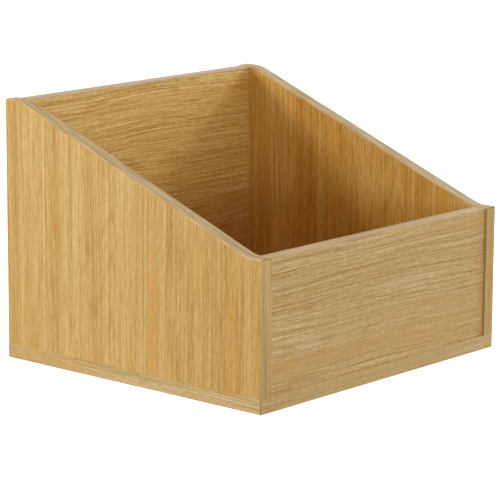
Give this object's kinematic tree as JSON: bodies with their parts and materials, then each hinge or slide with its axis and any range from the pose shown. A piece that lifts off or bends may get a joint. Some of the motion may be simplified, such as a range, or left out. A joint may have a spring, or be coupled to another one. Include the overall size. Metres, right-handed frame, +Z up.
{
  "type": "open-topped book box",
  "caption": "Open-topped book browser box of oak-effect board, with side panels that slope from a high rear down to a low front.",
  "frame": {"origin": "middle of the base's underside, on the surface that the box stands on", "axes": "+X to the right seen from the front, -Y towards the low front, +Z up"},
  "size_m": [0.45, 0.416, 0.3255],
  "materials": {
    "oak_board": "satin",
    "oak_edging": "satin",
    "zinc_steel": "satin",
    "beech": "matte"
  },
  "bodies": {
    "root": {"base_panel": "oak_board", "base_front_edging": "oak_edging", "base_rear_edging": "oak_edging", "base_left_edging": "oak_edging", "base_right_edging": "oak_edging", "left_side_panel": "oak_board", "left_side_top_edging": "oak_edging", "left_side_front_edging": "oak_edging", "left_side_rear_edging": "oak_edging", "right_side_panel": "oak_board", "right_side_top_edging": "oak_edging", "right_side_front_edging": "oak_edging", "right_side_rear_edging": "oak_edging", "front_panel": "oak_board", "front_panel_top_edging": "oak_edging", "rear_panel": "oak_board", "rear_panel_top_edging": "oak_edging", "left_base_screws": "zinc_steel", "right_base_screws": "zinc_steel", "front_base_screws": "zinc_steel", "rear_base_screws": "zinc_steel", "left_base_dowels": "beech", "right_base_dowels": "beech", "front_base_dowels": "beech", "rear_base_dowels": "beech", "front_left_corner_dowels": "beech", "front_right_corner_dowels": "beech", "rear_left_corner_dowels": "beech", "rear_right_corner_dowels": "beech"}
  },
  "joints": []
}
